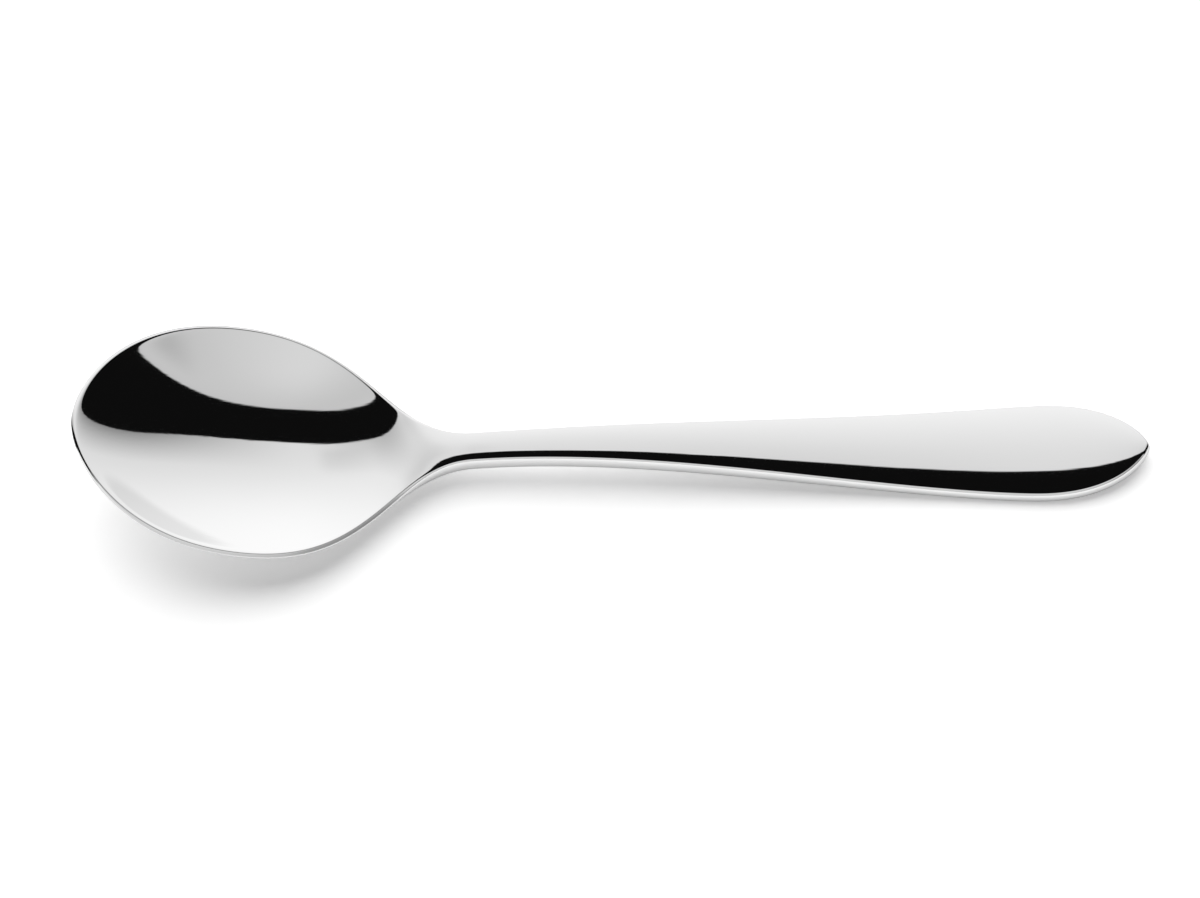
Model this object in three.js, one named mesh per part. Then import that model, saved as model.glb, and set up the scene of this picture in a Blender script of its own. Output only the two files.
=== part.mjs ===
// Coffee spoon: bowl, neck and handle formed from one piece of polished stainless steel.
// Millimetres. +X points to the end of the handle, +Z is up and the table is Z = 0.
import * as THREE from 'three';

// Plan of the spoon, with places along it measured from the tip of the bowl
const overallLength = 140;
const bowlWidth = 35;
const bowlWidestAt = 21.4;
const bowlSideRadius = 30;
const tipFullness = 5.6;
const neckWidth = 4.7;
const neckAt = 51.6;
const shoulderRadius = 12;
const taperRadius = 230;
const handleWidth = 14.2;
const handleWidestAt = 126;
const handleSideRadius = 28.3;
const endFullness = 0.9;

// Height of the edge above the table, and where its lowest and resting parts are
const tipHeight = 12.53;
const sideHeight = 7.13;
const dipHeight = 3.12;
const dipAt = 44;
const neckHeight = 3.83;
const neckHeightAt = 53.5;
const restAt = 129;
const endRise = 0.85;

// Sloping face that the rim ends in: its width in plan, its rise, and how soft its inner corner is
const rimFace = 0.4;
const rimClimb = 0.4;
const tipSoftness = 0.2;
const sideSoftness = 0.1;

// Thickness of the edge, and how far in its rounding reaches
const neckThickness = 2.15;
const endThickness = 1.7;
const rimRounding = 0.1;
const neckRounding = 0.35;
const endRounding = 0.38;

// Hollow of the bowl, its metal, how much rounder it is in the middle, and the handle's crown
const bowlDepth = 5.5;
const bowlMetal = 1.19;
const fullness = 0.168;
const handleCrown = 0.9;

// Stretches of the spoon over which the rim's corner, the thickness, the hollow and the crown change
const sharpenFrom = 10;
const sharpenTo = 35;
const thickenFrom = 38;
const thickenTo = 50;
const thinFrom = 62;
const thinTo = 125;
const hollowFrom = 36;
const hollowTo = 58;
const crownFrom = 37;
const crownTo = 50;

// Points along each of the four curves of the edge, and from the rim's corner to the middle
const tipSteps = 22;
const shoulderSteps = 24;
const taperSteps = 30;
const endSteps = 18;
const innerSteps = 9;

// Length of a curve's handle that gives the wanted radius where the curve leaves its end
function handleFor(offset, radius) {
  return Math.sqrt((2 / 3) * offset * radius);
}

function curve(...numbers) {
  const points = [];
  for (let i = 0; i < 8; i += 2) points.push(new THREE.Vector2(numbers[i], numbers[i + 1]));
  return new THREE.CubicBezierCurve(...points);
}

// Half of the plan: four curves that meet with the same direction
function planCurves() {
  const bowl = bowlWidth / 2;
  const neck = neckWidth / 2;
  const grip = handleWidth / 2;
  const beforeSide = bowlWidestAt - handleFor(bowl - tipFullness, bowlSideRadius);
  const afterSide = bowlWidestAt + handleFor(bowl - neck, bowlSideRadius);
  const beforeNeck = neckAt - handleFor(bowl - neck, shoulderRadius);
  const afterNeck = neckAt + handleFor(grip - neck, taperRadius);
  const beforeGrip = handleWidestAt - handleFor(grip - neck, handleSideRadius);
  const afterGrip = handleWidestAt + handleFor(grip - endFullness, handleSideRadius);
  return [
    curve(0, 0, 0, tipFullness, beforeSide, bowl, bowlWidestAt, bowl),
    curve(bowlWidestAt, bowl, afterSide, bowl, beforeNeck, neck, neckAt, neck),
    curve(neckAt, neck, afterNeck, neck, beforeGrip, grip, handleWidestAt, grip),
    curve(handleWidestAt, grip, afterGrip, grip, overallLength, endFullness, overallLength, 0),
  ];
}

// Smooth curve through the given points, with no bend at its two ends
function smoothThrough(points) {
  const last = points.length - 1;
  const bend = new Array(last + 1).fill(0);
  const carry = new Array(last + 1).fill(0);
  for (let i = 1; i < last; i += 1) {
    const before = points[i][0] - points[i - 1][0];
    const after = points[i + 1][0] - points[i][0];
    const rise = (points[i + 1][1] - points[i][1]) / after;
    const fall = (points[i][1] - points[i - 1][1]) / before;
    const pivot = 2 * (before + after) - before * carry[i - 1];
    carry[i] = after / pivot;
    bend[i] = (6 * (rise - fall) - before * bend[i - 1]) / pivot;
  }
  for (let i = last - 1; i > 0; i -= 1) bend[i] -= carry[i] * bend[i + 1];
  return (at) => {
    let i = 0;
    while (i < last - 1 && at > points[i + 1][0]) i += 1;
    const span = points[i + 1][0] - points[i][0];
    const b = (at - points[i][0]) / span;
    const a = 1 - b;
    const sag = ((a ** 3 - a) * bend[i] + (b ** 3 - b) * bend[i + 1]) * span * span / 6;
    return a * points[i][1] + b * points[i + 1][1] + sag;
  };
}

const restHeight = endThickness / 2;
const edgeHeight = smoothThrough([
  [0, tipHeight],
  [bowlWidestAt, sideHeight],
  [dipAt, dipHeight],
  [neckHeightAt, neckHeight],
  [restAt, restHeight],
  [overallLength, restHeight + endRise],
]);

// How far the thin rim has turned into the thick edge of the neck
function thickened(at) {
  return THREE.MathUtils.smootherstep(at, thickenFrom, thickenTo);
}

// Value that goes from the rim's to the neck's and then to the handle end's
function along(at, rim, neck, end) {
  const thin = THREE.MathUtils.smootherstep(at, thinFrom, thinTo);
  return rim + (neck - rim) * thickened(at) + (end - neck) * thin;
}

// Softness of the corner between the rim's face and the hollow
function cornerSoftness(at) {
  const sharpened = THREE.MathUtils.smootherstep(at, sharpenFrom, sharpenTo);
  return tipSoftness + (sideSoftness - tipSoftness) * sharpened;
}

// Nothing below zero and the value itself above it, with a soft bend between
function softened(value, softness) {
  return (value + Math.hypot(value, softness)) / 2;
}

// Share of the bowl's depth, rounder in the middle than at the rim
function fuller(share) {
  return (share * (1 + fullness * share)) / (1 + fullness);
}

// Upper and lower height of the metal at a place along the spoon and a distance from its middle
function heights(place, aside) {
  const bowl = bowlWidth / 2;
  const grip = handleWidth / 2;
  const bulge = place.half * place.half - aside * aside;
  const toMiddle = place.half / place.square;
  const inward = bulge / (2 * toMiddle);
  const rounding = along(place.at, rimRounding, neckRounding, endRounding);
  const reach = Math.max(0, 1 - inward / rounding);
  const full = along(place.at, rimRounding, neckThickness / 2, endThickness / 2);
  const metal = full * Math.sqrt(1 - reach * reach);
  const soft = cornerSoftness(place.at);
  const climbed = 1 - softened(rimFace - inward, soft) / softened(rimFace, soft);
  const climb = rimClimb * climbed * (1 - thickened(place.at));
  const inside = softened(inward - rimFace, soft) - softened(-rimFace, soft);
  const hollow = bowlDepth * fuller((2 * toMiddle * inside) / (bowl - rimFace) ** 2);
  const outerDepth = bowlDepth + bowlMetal - rimClimb - 2 * rimRounding;
  const belly = outerDepth * fuller(bulge / bowl ** 2);
  const crown = (handleCrown * bulge) / (grip * place.half);
  const scooped = 1 - THREE.MathUtils.smootherstep(place.at, hollowFrom, hollowTo);
  const crowned = THREE.MathUtils.smootherstep(place.at, crownFrom, crownTo);
  const edge = edgeHeight(place.at);
  return {
    upper: edge + metal + climb + crown * crowned - hollow * scooped,
    lower: edge - metal - belly * scooped,
  };
}

// Places along the spoon, without its two ends
function places() {
  const steps = [tipSteps, shoulderSteps, taperSteps, endSteps];
  const list = [];
  planCurves().forEach((piece, index) => {
    for (let i = 0; i < steps[index]; i += 1) {
      const share = i / steps[index];
      const point = piece.getPoint(share);
      const square = Math.abs(piece.getTangent(share).x);
      list.push({ at: point.x, half: point.y, square });
    }
  });
  return list.slice(1);
}

// Distances from the middle, from the edge inwards: close together up to the rim's corner, then even
function stepsAside(place) {
  const soft = cornerSoftness(place.at);
  const distances = [0, rimRounding / 3, rimRounding, rimFace - soft, rimFace + soft];
  const deepest = (place.half * place.square) / 2;
  const list = distances.map((distance, i) => {
    const share = Math.min(distance / deepest, i / (distances.length + innerSteps));
    return place.half * Math.sqrt(1 - share);
  });
  const corner = list[list.length - 1];
  for (let i = 1; i <= innerSteps; i += 1) list.push(corner * (1 - i / innerSteps));
  return list;
}

// One ring of points per place, over the top and back underneath
function ring(place) {
  const half = stepsAside(place);
  const across = [...half.map((aside) => -aside), ...half.slice(0, -1).reverse()];
  const over = across.map((aside) => new THREE.Vector3(place.at, aside, heights(place, aside).upper));
  const back = across.slice(1, -1).reverse();
  const under = back.map((aside) => new THREE.Vector3(place.at, aside, heights(place, aside).lower));
  return [...over, ...under];
}

function spoonGeometry() {
  const rings = places().map(ring);
  const round = rings[0].length;
  const tip = new THREE.Vector3(0, 0, edgeHeight(0));
  const end = new THREE.Vector3(overallLength, 0, edgeHeight(overallLength));
  const points = [tip, ...rings.flat(), end];
  const faces = [];
  const at = (row, i) => 1 + row * round + (i % round);
  for (let i = 0; i < round; i += 1) {
    faces.push(0, at(0, i), at(0, i + 1));
    faces.push(points.length - 1, at(rings.length - 1, i + 1), at(rings.length - 1, i));
    for (let row = 0; row < rings.length - 1; row += 1) {
      faces.push(at(row, i), at(row + 1, i), at(row + 1, i + 1));
      faces.push(at(row, i), at(row + 1, i + 1), at(row, i + 1));
    }
  }
  const geometry = new THREE.BufferGeometry().setFromPoints(points);
  geometry.setIndex(faces);
  geometry.computeBoundingBox();
  geometry.translate(-overallLength / 2, 0, -geometry.boundingBox.min.z);
  geometry.computeVertexNormals();
  return geometry;
}

const polishedSteel = new THREE.MeshStandardMaterial({
  color: 0xd9d9d9,
  roughness: 0.06,
  metalness: 1,
});

const spoon = new THREE.Mesh(spoonGeometry(), polishedSteel);
spoon.name = 'spoon';

const coffeeSpoon = new THREE.Group();
coffeeSpoon.name = 'coffee_spoon';
coffeeSpoon.add(spoon);

export default coffeeSpoon;
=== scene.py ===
"""Coffee spoon of polished stainless steel on a white studio table.

The spoon is one formed piece. Its surface is fine enough to mirror the studio without facets.
"""

import math

import bmesh
import bpy
from bpy.props import FloatProperty, FloatVectorProperty, IntProperty, PointerProperty
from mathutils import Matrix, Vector


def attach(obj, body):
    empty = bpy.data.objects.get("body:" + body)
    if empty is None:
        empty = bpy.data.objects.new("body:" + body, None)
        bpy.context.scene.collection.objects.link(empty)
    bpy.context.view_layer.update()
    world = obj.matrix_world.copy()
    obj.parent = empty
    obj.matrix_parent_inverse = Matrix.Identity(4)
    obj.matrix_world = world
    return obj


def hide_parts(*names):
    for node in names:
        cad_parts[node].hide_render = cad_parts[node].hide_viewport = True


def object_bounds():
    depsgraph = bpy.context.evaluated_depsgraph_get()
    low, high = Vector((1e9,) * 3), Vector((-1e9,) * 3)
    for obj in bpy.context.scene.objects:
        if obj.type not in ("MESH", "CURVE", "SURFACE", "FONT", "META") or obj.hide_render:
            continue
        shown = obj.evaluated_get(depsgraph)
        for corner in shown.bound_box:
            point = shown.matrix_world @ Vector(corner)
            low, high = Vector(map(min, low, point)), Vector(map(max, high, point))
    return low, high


bl_info = {
    "name": "Coffee Spoon",
    "version": (1, 0, 0),
    "blender": (4, 5, 0),
    "location": "View3D > Sidebar > Spoon",
    "description": "Models a polished coffee spoon and the studio it lies in",
    "category": "Add Mesh",
}

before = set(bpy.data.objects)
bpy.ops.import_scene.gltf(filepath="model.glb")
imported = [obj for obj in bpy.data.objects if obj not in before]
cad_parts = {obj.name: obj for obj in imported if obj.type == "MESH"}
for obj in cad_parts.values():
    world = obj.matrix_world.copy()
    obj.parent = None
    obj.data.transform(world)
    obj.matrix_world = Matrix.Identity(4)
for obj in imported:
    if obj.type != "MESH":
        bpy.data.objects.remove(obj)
CAD_LOW, CAD_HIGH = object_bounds()
MM = 0.001

# Mesh of the spoon: how much closer its points are at the edge, how near points are one,
# and below what share an edge counts as running straight across
EDGE_CROWDING = 2.2
SAME_POINT = 2e-8
STRAIGHT_ACROSS = 1e-6

# Grain of the steel and of the table: noise per metre, its detail, and the roughness that it adds
CLOUD_SCALE = 60.0
CLOUD_DETAIL = 3.0
LINE_DETAIL = 2.0
LINE_STRETCH = (1, 40, 40)
STEEL_UNEVENNESS = 0.02
TABLE_SCALE = 1500.0
TABLE_DETAIL = 2.0
TABLE_ROUGHNESS = 0.3
TABLE_UNEVENNESS = 0.4
TABLE_HALF = 6
# Brightness of the grey glow mixed into the table where the steel mirrors it: painted shade on the mirrored
# table
MIRRORED_PAINTED_SHADE = 0.5

# The room that the steel mirrors, by direction: x to the right, y to the back, z up.
# Series are factors of rising powers. Ramps are start, stop, value before and value after.
EDGE_RAMP = (-0.008, 0.008)
SWEEP_EDGE = (0.296, -0.102, 0.211, 0.224)
SWEEP_TURN = 2.5
SWEEP_TURN_POWER = 6.0
SWEEP_LEVEL = (0.744, 0.082, 0.476)
SWEEP_SLANT = 0.092
LOW_PART = 0.3
CORNER_SHADE = 0.749
LEFT_SHADE = 0.4
LEFT_BEND = 0.01
SHADE_STARTS = (-0.46, -0.3, 0.0, 0.07)
SHADE_STOPS = (-0.26, -0.12, 1.0, 0.0)
SHADE_FOOT = (0.02, 0.12)
SHADE_TOP = (0.18, 0.36, 1.0, 0.0)
SKIRTING_SLOPE = 0.44
SKIRTING_HEIGHT = 0.058
SKIRTING_RAMP = (-0.02, 0.02, 1.0, 0.84)
PANEL_EDGE = (-0.023, -0.129, 0.351, 0.0, -0.356)
PANEL_DIP_STARTS = (-0.85, -0.6, 0.0, 0.3)
PANEL_DIP_STOPS = (-0.6, -0.4, 1.0, 0.0)
PANEL_TOP = (-0.3, 0.0, 0.7, 0.574)
PANEL_FOOT = (-0.8, -0.4, -0.08, 0.0)
PANEL_SIDES = (-0.3, -0.05, -0.4, -0.02)
PANEL_LEFT = (-0.75, -0.35, 0.4, 0.0)
PANEL_RIGHT = (0.55, 0.72, 0.0, -0.14)
PANEL_RIGHT_FOOT = (-0.2, -0.06, 1.0, 0.0)

# Camera
SENSOR_WIDTH = 36
NEAREST_SEEN = 0.01


def length(name, description, default, precision=4):
    """A size in the sidebar, in scene units."""
    return FloatProperty(
        name=name, description=description, default=default, min=0, unit="LENGTH", precision=precision
    )


def angle(name, description, degrees):
    """An angle in the sidebar."""
    return FloatProperty(
        name=name, description=description, default=math.radians(degrees), subtype="ANGLE"
    )


def portion(name, description, default):
    """A value from 0 to 1 in the sidebar."""
    return FloatProperty(name=name, description=description, default=default, min=0, max=1)


def level(name, description, default):
    """A brightness or another value above 0 in the sidebar."""
    return FloatProperty(name=name, description=description, default=default, min=0)


def steps(name, description, default):
    """A number of faces in the sidebar."""
    return IntProperty(name=name, description=description, default=default, min=8)


def grey(name, description, value):
    """A colour in the sidebar that starts as a grey."""
    return FloatVectorProperty(
        name=name, description=description, subtype="COLOR", size=3, default=(value,) * 3, min=0, max=1
    )


class SpoonShape(bpy.types.PropertyGroup):
    """Sizes of the spoon. Places along it are measured from the tip of the bowl."""

    overall_length: length("Length", "Tip of the bowl to the end of the handle", CAD_HIGH.x - CAD_LOW.x)
    bowl_width: length("Bowl width", "Widest part of the bowl", CAD_HIGH.y - CAD_LOW.y)
    bowl_widest_at: length("Bowl widest at", "Place of the bowl's widest part", 21.4 * MM)
    bowl_side_radius: length("Bowl side radius", "Radius of the rim at the widest part", 30 * MM)
    tip_fullness: length("Tip fullness", "How far the rim runs across the tip before it turns", 5.6 * MM)
    neck_width: length("Neck width", "Narrowest part of the neck", 4.7 * MM)
    neck_at: length("Neck at", "Place of the narrowest part", 51.6 * MM)
    shoulder_radius: length("Shoulder radius", "Radius of the edge where the bowl meets the neck", 12 * MM)
    taper_radius: length("Taper radius", "Radius of the edge where the handle starts to widen", 230 * MM)
    handle_width: length("Handle width", "Widest part of the handle", 14.2 * MM)
    handle_widest_at: length("Handle widest at", "Place of the handle's widest part", 126 * MM)
    handle_side_radius: length("Handle side radius", "Radius of the edge at the widest part", 28.3 * MM)
    end_fullness: length("End fullness", "How far the edge runs across the handle's end", 0.9 * MM)
    tip_height: length("Tip height", "Height of the rim's outer edge at the tip", 12.53 * MM)
    side_height: length("Side height", "Height of the rim's outer edge at the widest part", 7.13 * MM)
    dip_height: length("Dip height", "Height of the edge at its lowest before the neck", 3.12 * MM)
    dip_at: length("Dip at", "Place of that dip", 44 * MM)
    neck_height: length("Neck height", "Height of the edge on the neck", 3.83 * MM)
    neck_height_at: length("Neck height at", "Place of that height", 53.5 * MM)
    rest_at: length("Rest at", "Place where the handle lies on the table", 129 * MM)
    end_rise: length("End rise", "How far the handle's end turns up", 0.85 * MM)
    rim_face: length("Rim face", "Width in plan of the sloping face that the rim ends in", 0.4 * MM)
    rim_climb: length("Rim climb", "Rise of that face from the outer edge to its top", 0.4 * MM)
    tip_softness: length("Tip softness", "Softness of that face's inner corner at the tip", 0.2 * MM)
    side_softness: length("Side softness", "Softness of that corner at the sides", 0.1 * MM)
    neck_thickness: length("Neck thickness", "Thickness of the neck's edge", 2.15 * MM)
    end_thickness: length("End thickness", "Thickness of the handle's edge near its end", 1.7 * MM)
    rim_rounding: length("Rim rounding", "Radius of the rim's outer edge", 0.1 * MM)
    neck_rounding: length("Neck rounding", "How far the rounding reaches in from the neck's edge", 0.35 * MM)
    end_rounding: length("End rounding", "How far the rounding reaches in from the handle's edge", 0.38 * MM)
    bowl_depth: length("Bowl depth", "Hollow below the rim at the widest part", 5.5 * MM)
    bowl_metal: length("Bowl metal", "Thickness of the metal in the middle of the bowl", 1.19 * MM)
    fullness: level("Fullness", "How much rounder the bowl is in the middle than at the rim", 0.168)
    handle_crown: length("Handle crown", "Rise of the handle's middle above its edges", 0.9 * MM)
    sharpen_from: length("Sharpen from", "Where the rim's inner corner starts to get sharper", 10 * MM)
    sharpen_to: length("Sharpen to", "Where it is as sharp as at the sides", 35 * MM)
    thicken_from: length("Thicken from", "Where the rim starts to thicken into the neck", 38 * MM)
    thicken_to: length("Thicken to", "Where the neck has its full thickness", 50 * MM)
    thin_from: length("Thin from", "Where the neck starts to thin into the handle", 62 * MM)
    thin_to: length("Thin to", "Where the handle has the thickness of its end", 125 * MM)
    hollow_from: length("Hollow from", "Where the hollow of the bowl starts to run out", 36 * MM)
    hollow_to: length("Hollow to", "Where the hollow has run out", 58 * MM)
    crown_from: length("Crown from", "Where the crown of the handle starts", 37 * MM)
    crown_to: length("Crown to", "Where the crown is full", 50 * MM)
    lengthwise_steps: steps("Steps along", "Faces along each edge curve", 100)
    over_steps: steps("Steps over", "Faces across the top", 150)
    under_steps: steps("Steps under", "Faces across the underside", 70)


class SteelFinish(bpy.types.PropertyGroup):
    """Look of the polished steel."""

    colour: grey("Colour", "Colour of the steel", 0.94)
    polish: portion("Polish", "Roughness of the polished metal", 0.03)
    relief: length("Relief", "Depth of the lines that polishing leaves", 1e-6, 6)


class StudioSettings(bpy.types.PropertyGroup):
    """Floor, light and camera."""

    floor_colour: grey("Floor", "Colour of the table", 0.92)
    floor_grain: length("Floor grain", "Depth of the table's fine grain", 4e-6, 6)
    floor_glow: level("Floor glow", "White added to the table for the camera", 0.33)
    # Share of that grey glow in the table as the steel mirrors it: painted shade in the reflection
    mirrored_shade_share: portion("Floor share", "Share of grey in the table as the steel mirrors it", 0.4)
    fill_level: level("Fill", "Light from all round on matt surfaces", 0.05)
    ceiling_level: level("Ceiling", "Brightness of the dark ceiling", 0.004)
    lamp_strength: level("Lamp", "Strength of the soft lamp", 5.0)
    lamp_softness: angle("Softness", "Spread of the soft lamp", 102)
    lamp_tilt: angle("Lamp tilt", "Lean of the soft lamp to the back", 50)
    lamp_turn: angle("Lamp turn", "Turn of the soft lamp to the left", 13)
    camera_distance: length("Camera distance", "Camera to the middle of the spoon", 0.6587)
    camera_height: angle("Camera height", "Angle above the table", 58)
    camera_turn: angle("Camera turn", "Angle about the vertical", -1.1)
    camera_aim: FloatVectorProperty(
        name="Camera aim",
        description="Point in the middle of the picture",
        size=3,
        subtype="XYZ",
        unit="LENGTH",
        default=(-1.94 * MM, -0.74 * MM, 5 * MM),
        precision=4,
    )
    camera_lens: FloatProperty(
        name="Lens", description="Focal length in millimetres", default=152, min=1
    )


def handle_for(offset, radius):
    """Length of a curve's handle that gives the wanted radius at its end."""
    return math.sqrt(2 / 3 * offset * radius)


def plan_curves(shape):
    """Half of the spoon's plan: four cubic curves that meet with the same direction."""
    bowl = shape.bowl_width / 2
    neck = shape.neck_width / 2
    grip = shape.handle_width / 2
    widest = shape.bowl_widest_at
    waist = shape.neck_at
    wide_grip = shape.handle_widest_at
    end = shape.overall_length
    before_side = widest - handle_for(bowl - shape.tip_fullness, shape.bowl_side_radius)
    after_side = widest + handle_for(bowl - neck, shape.bowl_side_radius)
    before_neck = waist - handle_for(bowl - neck, shape.shoulder_radius)
    after_neck = waist + handle_for(grip - neck, shape.taper_radius)
    before_grip = wide_grip - handle_for(grip - neck, shape.handle_side_radius)
    after_grip = wide_grip + handle_for(grip - shape.end_fullness, shape.handle_side_radius)
    corners = (
        ((0, 0), (0, shape.tip_fullness), (before_side, bowl), (widest, bowl)),
        ((widest, bowl), (after_side, bowl), (before_neck, neck), (waist, neck)),
        ((waist, neck), (after_neck, neck), (before_grip, grip), (wide_grip, grip)),
        ((wide_grip, grip), (after_grip, grip), (end, shape.end_fullness), (end, 0)),
    )
    return [[Vector(corner) for corner in curve] for curve in corners]


def point_on(curve, share):
    """Point on a cubic curve, and how square to the spoon its edge runs there."""
    a, b, c, d = curve
    rest = 1 - share
    point = a * rest**3 + b * 3 * rest**2 * share + c * 3 * rest * share**2 + d * share**3
    course = (b - a) * rest**2 + (c - b) * 2 * rest * share + (d - c) * share**2
    return point, abs(course.x) / course.length


def smooth_through(points):
    """A function that gives a smooth curve through points, with no bend at its two ends."""
    last = len(points) - 1
    bend = [0.0] * (last + 1)
    carry = [0.0] * (last + 1)
    for i in range(1, last):
        before = points[i][0] - points[i - 1][0]
        after = points[i + 1][0] - points[i][0]
        rise = (points[i + 1][1] - points[i][1]) / after
        fall = (points[i][1] - points[i - 1][1]) / before
        pivot = 2 * (before + after) - before * carry[i - 1]
        carry[i] = after / pivot
        bend[i] = (6 * (rise - fall) - before * bend[i - 1]) / pivot
    for i in range(last - 1, 0, -1):
        bend[i] -= carry[i] * bend[i + 1]

    def value(at):
        i = 0
        while i < last - 1 and at > points[i + 1][0]:
            i += 1
        span = points[i + 1][0] - points[i][0]
        b = (at - points[i][0]) / span
        a = 1 - b
        sag = ((a**3 - a) * bend[i] + (b**3 - b) * bend[i + 1]) * span**2 / 6
        return a * points[i][1] + b * points[i + 1][1] + sag

    return value


def eased(at, start, stop):
    """0 before start and 1 after stop, with a soft start and finish."""
    share = min(1, max(0, (at - start) / (stop - start)))
    return share**3 * (share * (share * 6 - 15) + 10)


def softened(value, softness):
    """0 for negative values and the value itself for positive ones, with a soft bend between."""
    return (value + math.hypot(value, softness)) / 2


class SpoonSurface:
    """The spoon's skin as a function of two shares: one along its length, one around it."""

    def __init__(self, shape):
        self.shape = shape
        self.curves = plan_curves(shape)
        rest_height = shape.end_thickness / 2
        self.edge_height = smooth_through(
            [
                (0, shape.tip_height),
                (shape.bowl_widest_at, shape.side_height),
                (shape.dip_at, shape.dip_height),
                (shape.neck_height_at, shape.neck_height),
                (shape.rest_at, rest_height),
                (shape.overall_length, rest_height + shape.end_rise),
            ]
        )

    def thickened(self, at):
        """How far the thin rim has turned into the thick edge of the neck."""
        return eased(at, self.shape.thicken_from, self.shape.thicken_to)

    def along(self, at, rim, neck, end):
        """Value that goes from the rim's to the neck's and then to the handle end's."""
        thin = eased(at, self.shape.thin_from, self.shape.thin_to)
        return rim + (neck - rim) * self.thickened(at) + (end - neck) * thin

    def heights(self, at, half, square, aside):
        """Upper and lower height of the metal."""
        shape = self.shape
        edge = self.edge_height(at)
        if square < STRAIGHT_ACROSS:
            return edge, edge
        bowl = shape.bowl_width / 2
        bulge = half * half - aside * aside
        to_middle = half / square
        inward = bulge / (2 * to_middle)
        rounding = self.along(at, shape.rim_rounding, shape.neck_rounding, shape.end_rounding)
        reach = max(0, 1 - inward / rounding)
        full = self.along(at, shape.rim_rounding, shape.neck_thickness / 2, shape.end_thickness / 2)
        metal = full * math.sqrt(max(0, 1 - reach * reach))
        face = shape.rim_face
        sharpened = eased(at, shape.sharpen_from, shape.sharpen_to)
        soft = shape.tip_softness + (shape.side_softness - shape.tip_softness) * sharpened
        climbed = 1 - softened(face - inward, soft) / softened(face, soft)
        climb = shape.rim_climb * climbed * (1 - self.thickened(at))
        inside = softened(inward - face, soft) - softened(-face, soft)
        hollow = shape.bowl_depth * self.fuller(2 * to_middle * inside / (bowl - face) ** 2)
        outer_depth = shape.bowl_depth + shape.bowl_metal - shape.rim_climb - 2 * shape.rim_rounding
        belly = outer_depth * self.fuller(bulge / bowl**2)
        crown = shape.handle_crown * bulge / (shape.handle_width / 2 * half)
        scooped = 1 - eased(at, shape.hollow_from, shape.hollow_to)
        crowned = eased(at, shape.crown_from, shape.crown_to)
        upper = edge + metal + climb + crown * crowned - hollow * scooped
        lower = edge - metal - belly * scooped
        return upper, lower

    def fuller(self, share):
        """Share of the bowl's depth, rounder in the middle than at the rim."""
        return share * (1 + self.shape.fullness * share) / (1 + self.shape.fullness)

    def point(self, along_share, around_share):
        """Point on the skin. Around it, the way runs over the top first and then underneath."""
        count = len(self.curves)
        spot = min(along_share * count, count)
        index = min(int(spot), count - 1)
        edge, square = point_on(self.curves[index], spot - index)
        top_share = self.shape.over_steps / (self.shape.over_steps + self.shape.under_steps)
        over = around_share <= top_share
        if over:
            across = 2 * around_share / top_share - 1
        else:
            across = 1 - 2 * (around_share - top_share) / (1 - top_share)
        aside = edge.y * math.copysign(1 - (1 - abs(across)) ** EDGE_CROWDING, across)
        upper, lower = self.heights(edge.x, edge.y, square, aside)
        return Vector((edge.x - self.shape.overall_length / 2, aside, upper if over else lower))


class Wire:
    """A node socket whose arithmetic adds Math nodes to its tree."""

    def __init__(self, tree, socket=None):
        self.tree = tree
        self.socket = socket

    def node(self, kind, settings=(), sockets=()):
        """Adds a node, sets its settings, then its socket values or links, and returns it."""
        node = self.tree.nodes.new(kind)
        for name, value in dict(settings).items():
            setattr(node, name, value)
        for name, value in dict(sockets).items():
            if isinstance(value, Wire):
                self.tree.links.new(value.socket, node.inputs[name])
            else:
                node.inputs[name].default_value = value
        return node

    def out(self, kind, output, settings=(), sockets=()):
        """Adds a node and wraps one of its outputs."""
        return Wire(self.tree, self.node(kind, settings, sockets).outputs[output])

    def apply(self, operation, *values):
        """This value and others through a Math node."""
        sockets = dict(enumerate((self, *values)))
        return self.out("ShaderNodeMath", 0, {"operation": operation}, sockets)

    def __add__(self, other):
        return self.apply("ADD", other)

    def __radd__(self, other):
        return self.apply("ADD", other)

    def __sub__(self, other):
        return self.apply("SUBTRACT", other)

    def __rsub__(self, other):
        return self.apply("MULTIPLY_ADD", -1.0, other)

    def __mul__(self, other):
        return self.apply("MULTIPLY", other)

    def __rmul__(self, other):
        return self.apply("MULTIPLY", other)

    def __truediv__(self, other):
        return self.apply("DIVIDE", other)

    def series(self, *factors):
        """Sum of rising powers of this value, each times its factor."""
        total = self * factors[-1]
        for factor in factors[-2:0:-1]:
            total = (total + factor) * self
        return total + factors[0]

    def ramp(self, start, stop, low=0.0, high=1.0):
        """Soft step from low to high between start and stop."""
        return self.out(
            "ShaderNodeMapRange",
            "Result",
            {"interpolation_type": "SMOOTHSTEP"},
            {"Value": self, "From Min": start, "From Max": stop, "To Min": low, "To Max": high},
        )


def new_material(name):
    """A material with an empty node tree, and a wire to build it with."""
    material = bpy.data.materials.new(name)
    material.use_nodes = True
    material.node_tree.nodes.clear()
    return material, Wire(material.node_tree)


def noise(wire, place, scale, detail):
    """Cloudy values from 0 to 1."""
    sockets = {"Vector": place, "Scale": scale, "Detail": detail}
    return wire.out("ShaderNodeTexNoise", "Fac", {}, sockets)


def bump(wire, height, depth):
    """Surface direction over a fine relief."""
    return wire.out("ShaderNodeBump", "Normal", {}, {"Height": height, "Distance": depth})


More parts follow.
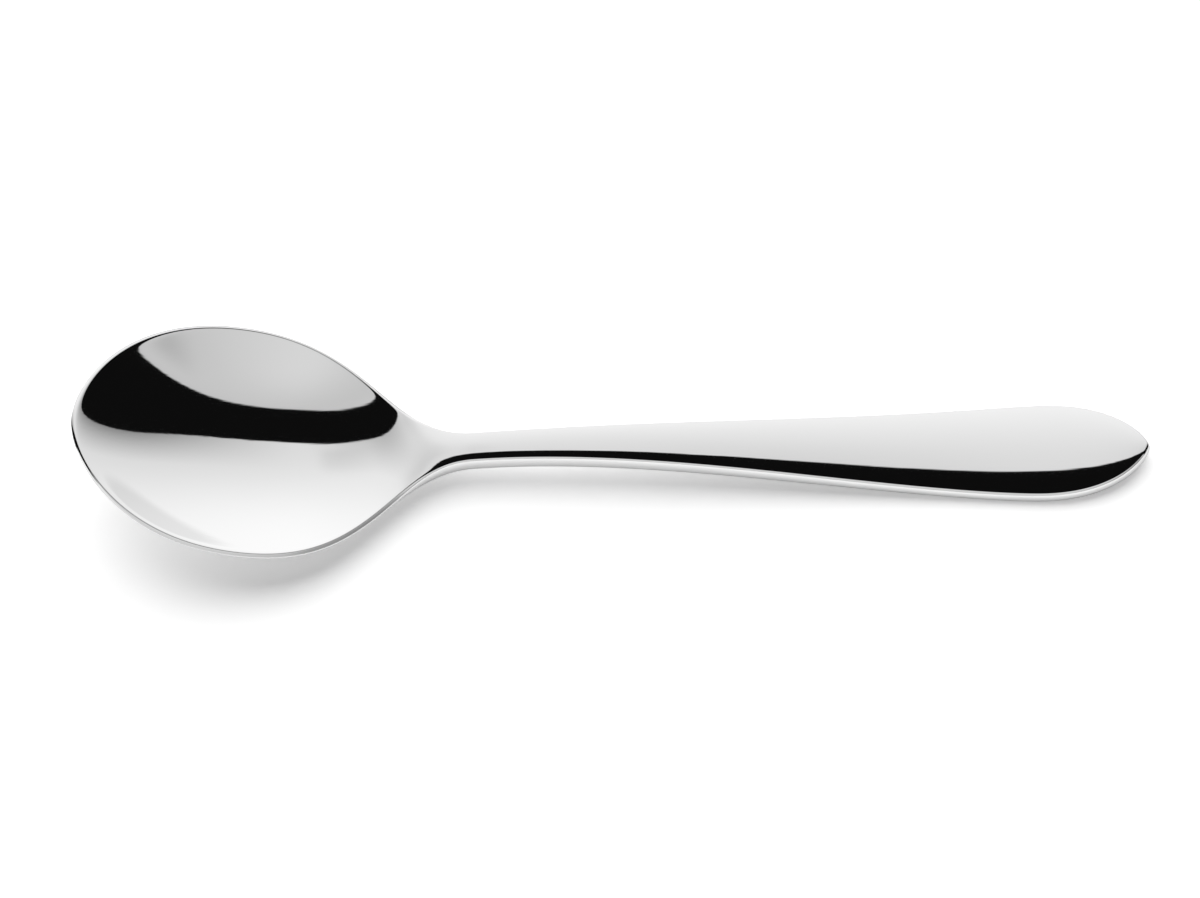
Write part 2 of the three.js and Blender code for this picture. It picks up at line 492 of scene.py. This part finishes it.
def polished_steel(finish):
    """Mirror-polished steel with the faint lines and clouds that polishing leaves."""
    material, wire = new_material("polished_steel")
    place = wire.out("ShaderNodeTexCoord", "Object")
    drawn = wire.out("ShaderNodeMapping", "Vector", {}, {"Vector": place, "Scale": LINE_STRETCH})
    cloud = noise(wire, place, CLOUD_SCALE, CLOUD_DETAIL)
    lines = noise(wire, drawn, CLOUD_SCALE, LINE_DETAIL)
    uneven = cloud * STEEL_UNEVENNESS + lines * STEEL_UNEVENNESS
    roughness = uneven + (finish.polish - STEEL_UNEVENNESS)
    relief = bump(wire, lines + cloud, finish.relief)
    shader = wire.node(
        "ShaderNodeBsdfPrincipled",
        {},
        {
            "Base Color": (*finish.colour, 1),
            "Metallic": 1.0,
            "Roughness": roughness,
            "Normal": relief,
        },
    )
    wire.node("ShaderNodeOutputMaterial", {}, {"Surface": Wire(wire.tree, shader.outputs["BSDF"])})
    return material


def white_table(studio):
    """Matt white table that glows a little for the camera. Where the steel mirrors it, it is mixed with a
    grey glow, which is painted shade on the mirrored table.
    """
    material, wire = new_material("white_table")
    path = wire.node("ShaderNodeLightPath")
    seen = Wire(wire.tree, path.outputs["Is Camera Ray"])
    mirrored = Wire(wire.tree, path.outputs["Is Glossy Ray"])
    place = wire.out("ShaderNodeTexCoord", "Object")
    grain = noise(wire, place, TABLE_SCALE, TABLE_DETAIL)
    matt = wire.out(
        "ShaderNodeBsdfDiffuse",
        "BSDF",
        {},
        {
            "Color": (*studio.floor_colour, 1),
            "Roughness": grain * TABLE_UNEVENNESS + TABLE_ROUGHNESS,
            "Normal": bump(wire, grain, studio.floor_grain),
        },
    )
    # Grey glow that only the steel sees: painted shade mixed into the lit and the shaded parts of the
    # mirrored table
    painted_shade_glow = wire.out("ShaderNodeEmission", "Emission", {}, {"Strength": MIRRORED_PAINTED_SHADE})
    mixed = {"Fac": mirrored * studio.mirrored_shade_share, 1: matt, 2: painted_shade_glow}
    table_with_painted_shade = wire.out("ShaderNodeMixShader", "Shader", {}, mixed)
    glow = wire.out("ShaderNodeEmission", "Emission", {}, {"Strength": seen * studio.floor_glow})
    both = wire.out("ShaderNodeAddShader", "Shader", {}, {0: table_with_painted_shade, 1: glow})
    wire.node("ShaderNodeOutputMaterial", {}, {"Surface": both})
    return material


def white_sweep(x, y, z):
    """Brightness of the white sweep behind the table, above its curved lower edge."""
    wide = x * x
    left = ((wide + LEFT_BEND).apply("SQRT") - x) * 0.5
    edge = x.series(*SWEEP_EDGE) + wide.apply("POWER", SWEEP_TURN_POWER) * SWEEP_TURN
    rise = y - edge
    low_part = (1 - rise / LOW_PART).apply("MAXIMUM", 0.0)
    corners = low_part * (wide * CORNER_SHADE + left * left * LEFT_SHADE)
    shade = x.ramp(*SHADE_STARTS) * x.ramp(*SHADE_STOPS)
    shade = shade * rise.ramp(*SHADE_FOOT) * rise.ramp(*SHADE_TOP)
    brightness = rise.series(*SWEEP_LEVEL) - x * SWEEP_SLANT - corners - shade
    skirting = (x * SKIRTING_SLOPE - z - SKIRTING_HEIGHT).ramp(*SKIRTING_RAMP)
    return (rise.ramp(*EDGE_RAMP) * skirting * brightness).apply("MAXIMUM", 0.0)


def grey_panel(x, y):
    """Brightness of the grey panel in front of the table, below its curved upper edge."""
    wide = x * x
    dip = x.ramp(*PANEL_DIP_STARTS) * x.ramp(*PANEL_DIP_STOPS)
    drop = x.series(*PANEL_EDGE) - dip - y
    brightness = (
        y.ramp(*PANEL_TOP)
        + y.ramp(*PANEL_FOOT)
        + wide * y.ramp(*PANEL_SIDES)
        + x.ramp(*PANEL_LEFT)
        + x.ramp(*PANEL_RIGHT) * y.ramp(*PANEL_RIGHT_FOOT)
    )
    return (drop.ramp(*EDGE_RAMP) * brightness).apply("MAXIMUM", 0.0)


def studio_world(world, studio):
    """White for the camera, some fill for matt surfaces, and the room for the steel to mirror."""
    world.use_nodes = True
    world.node_tree.nodes.clear()
    wire = Wire(world.node_tree)
    direction = wire.out("ShaderNodeTexCoord", "Generated")
    split = wire.node("ShaderNodeSeparateXYZ", {}, {"Vector": direction})
    x, y, z = (Wire(wire.tree, split.outputs[i]) for i in range(3))
    room = white_sweep(x, y, z) + grey_panel(x, y) + studio.ceiling_level
    path = wire.node("ShaderNodeLightPath")
    seen = Wire(wire.tree, path.outputs["Is Camera Ray"])
    matt = Wire(wire.tree, path.outputs["Is Diffuse Ray"])
    strength = seen + matt * studio.fill_level + (1 - seen - matt) * room
    sockets = {"Color": (1, 1, 1, 1), "Strength": strength}
    background = wire.out("ShaderNodeBackground", "Background", {}, sockets)
    wire.node("ShaderNodeOutputWorld", {}, {"Surface": background})


class SPOON_OT_body(bpy.types.Operator):
    """Model the spoon and give it its polished finish"""

    bl_idname = "coffee_spoon.body"
    bl_label = "Spoon"

    def execute(self, context):
        shape = context.scene.spoon_shape
        surface = SpoonSurface(shape)
        skin = bmesh.new()
        around = shape.over_steps + shape.under_steps
        lengthwise = shape.lengthwise_steps * len(surface.curves)
        bmesh.ops.create_grid(skin, x_segments=lengthwise, y_segments=around, size=1)
        low = min(vertex.co.x for vertex in skin.verts)
        for vertex in skin.verts:
            vertex.co = surface.point((vertex.co.x / -low + 1) / 2, (vertex.co.y / -low + 1) / 2)
        bmesh.ops.remove_doubles(skin, verts=skin.verts, dist=SAME_POINT)
        drop = min(vertex.co.z for vertex in skin.verts)
        bmesh.ops.translate(skin, verts=skin.verts, vec=(0, 0, -drop))
        bmesh.ops.recalc_face_normals(skin, faces=skin.faces)
        for face in skin.faces:
            face.smooth = True
        mesh = bpy.data.meshes.new("spoon_body")
        skin.to_mesh(mesh)
        skin.free()
        mesh.materials.append(polished_steel(context.scene.steel_finish))
        body = bpy.data.objects.new("spoon_body", mesh)
        context.scene.collection.objects.link(body)
        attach(body, "root")
        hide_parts("spoon")
        return {"FINISHED"}


class SPOON_OT_studio(bpy.types.Operator):
    """Set out the table, the light and the camera"""

    bl_idname = "coffee_spoon.studio"
    bl_label = "Studio"

    def execute(self, context):
        scene = context.scene
        studio = scene.studio_settings
        scene.view_settings.view_transform = "Standard"
        self.table(scene, studio)
        self.lamp(scene, studio)
        self.camera(scene, studio)
        scene.world = scene.world or bpy.data.worlds.new("studio")
        studio_world(scene.world, studio)
        return {"FINISHED"}

    def table(self, scene, studio):
        top = bmesh.new()
        bmesh.ops.create_grid(top, x_segments=1, y_segments=1, size=TABLE_HALF)
        mesh = bpy.data.meshes.new("table")
        top.to_mesh(mesh)
        top.free()
        mesh.materials.append(white_table(studio))
        table = bpy.data.objects.new("table", mesh)
        scene.collection.objects.link(table)

    def lamp(self, scene, studio):
        light = bpy.data.lights.new("soft_lamp", "SUN")
        light.energy = studio.lamp_strength
        light.angle = studio.lamp_softness
        lamp = bpy.data.objects.new("soft_lamp", light)
        lamp.rotation_euler = (-studio.lamp_tilt, 0, studio.lamp_turn)
        lamp.visible_glossy = False
        scene.collection.objects.link(lamp)

    def camera(self, scene, studio):
        data = bpy.data.cameras.new("camera")
        data.lens = studio.camera_lens
        data.sensor_width = SENSOR_WIDTH
        data.sensor_fit = "HORIZONTAL"
        data.clip_start = NEAREST_SEEN
        camera = bpy.data.objects.new("camera", data)
        height = studio.camera_height
        turn = studio.camera_turn
        level_back = math.cos(height)
        back = Vector((math.sin(turn) * level_back, -math.cos(turn) * level_back, math.sin(height)))
        camera.location = Vector(studio.camera_aim) + back * studio.camera_distance
        camera.rotation_euler = (math.pi / 2 - height, 0, turn)
        scene.collection.objects.link(camera)
        scene.camera = camera


class SPOON_PT_sidebar(bpy.types.Panel):
    """Sizes, finish and studio of the spoon"""

    bl_idname = "SPOON_PT_sidebar"
    bl_label = "Coffee Spoon"
    bl_space_type = "VIEW_3D"
    bl_region_type = "UI"
    bl_category = "Spoon"

    def draw(self, context):
        scene = context.scene
        for settings in (scene.spoon_shape, scene.steel_finish, scene.studio_settings):
            box = self.layout.box()
            for name in settings.__annotations__:
                box.prop(settings, name)
        self.layout.operator(SPOON_OT_body.bl_idname)
        self.layout.operator(SPOON_OT_studio.bl_idname)


CLASSES = (
    SpoonShape,
    SteelFinish,
    StudioSettings,
    SPOON_OT_body,
    SPOON_OT_studio,
    SPOON_PT_sidebar,
)


def register():
    for each in CLASSES:
        bpy.utils.register_class(each)
    bpy.types.Scene.spoon_shape = PointerProperty(type=SpoonShape)
    bpy.types.Scene.steel_finish = PointerProperty(type=SteelFinish)
    bpy.types.Scene.studio_settings = PointerProperty(type=StudioSettings)


def unregister():
    del bpy.types.Scene.studio_settings
    del bpy.types.Scene.steel_finish
    del bpy.types.Scene.spoon_shape
    for each in reversed(CLASSES):
        bpy.utils.unregister_class(each)


def main():
    register()
    bpy.ops.coffee_spoon.body()
    bpy.ops.coffee_spoon.studio()


if __name__ == "__main__":
    main()
